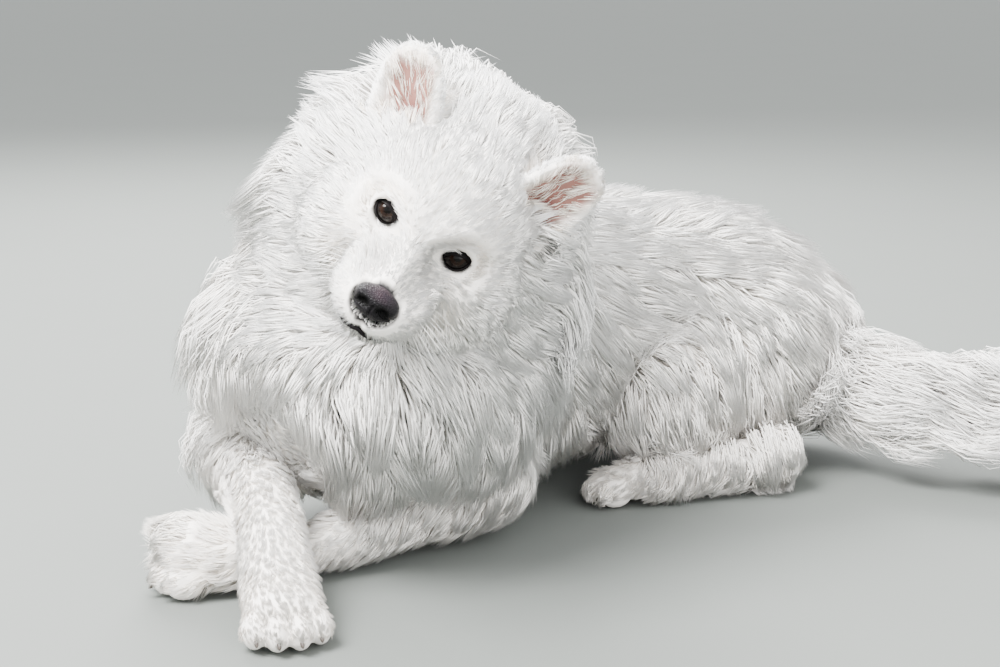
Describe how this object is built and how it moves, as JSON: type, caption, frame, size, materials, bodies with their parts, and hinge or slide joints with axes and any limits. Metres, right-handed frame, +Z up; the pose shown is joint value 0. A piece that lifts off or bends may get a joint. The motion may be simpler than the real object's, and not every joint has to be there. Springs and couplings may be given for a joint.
{
  "type": "samoyed dog model, lying down",
  "caption": "Life-size still model of a samoyed lying on its chest with crossed forelegs, tilted head, full ruff and the tail laid out to the side.",
  "frame": {"origin": "on the floor, in the middle of the flat under the chest where the body rests", "axes": "the dog faces -X and its left side faces -Y, +Z is up from the floor"},
  "size_m": [1.1662, 0.6944, 0.5094],
  "materials": {
    "white_fur": "long dense white coat with a cream undercoat",
    "ear_fur": "short cream fur, pink skin inside the cup",
    "nose_leather": "dark pebbled nose leather with a faded top",
    "eye": "wet dark brown"
  },
  "bodies": {
    "root": {"head": "white_fur", "neck": "white_fur", "torso": "white_fur", "hips": "white_fur", "hind_leg_left": "white_fur", "hind_leg_right": "white_fur", "hind_foot_left": "white_fur", "hind_foot_right": "white_fur", "foreleg_left": "white_fur", "foreleg_right": "white_fur", "forepaw_left": "white_fur", "forepaw_right": "white_fur", "tail": "white_fur", "tail_plume": "white_fur", "ear_left": "ear_fur", "ear_right": "ear_fur", "nose": "nose_leather", "eye_left": "eye", "eye_right": "eye"}
  },
  "joints": []
}
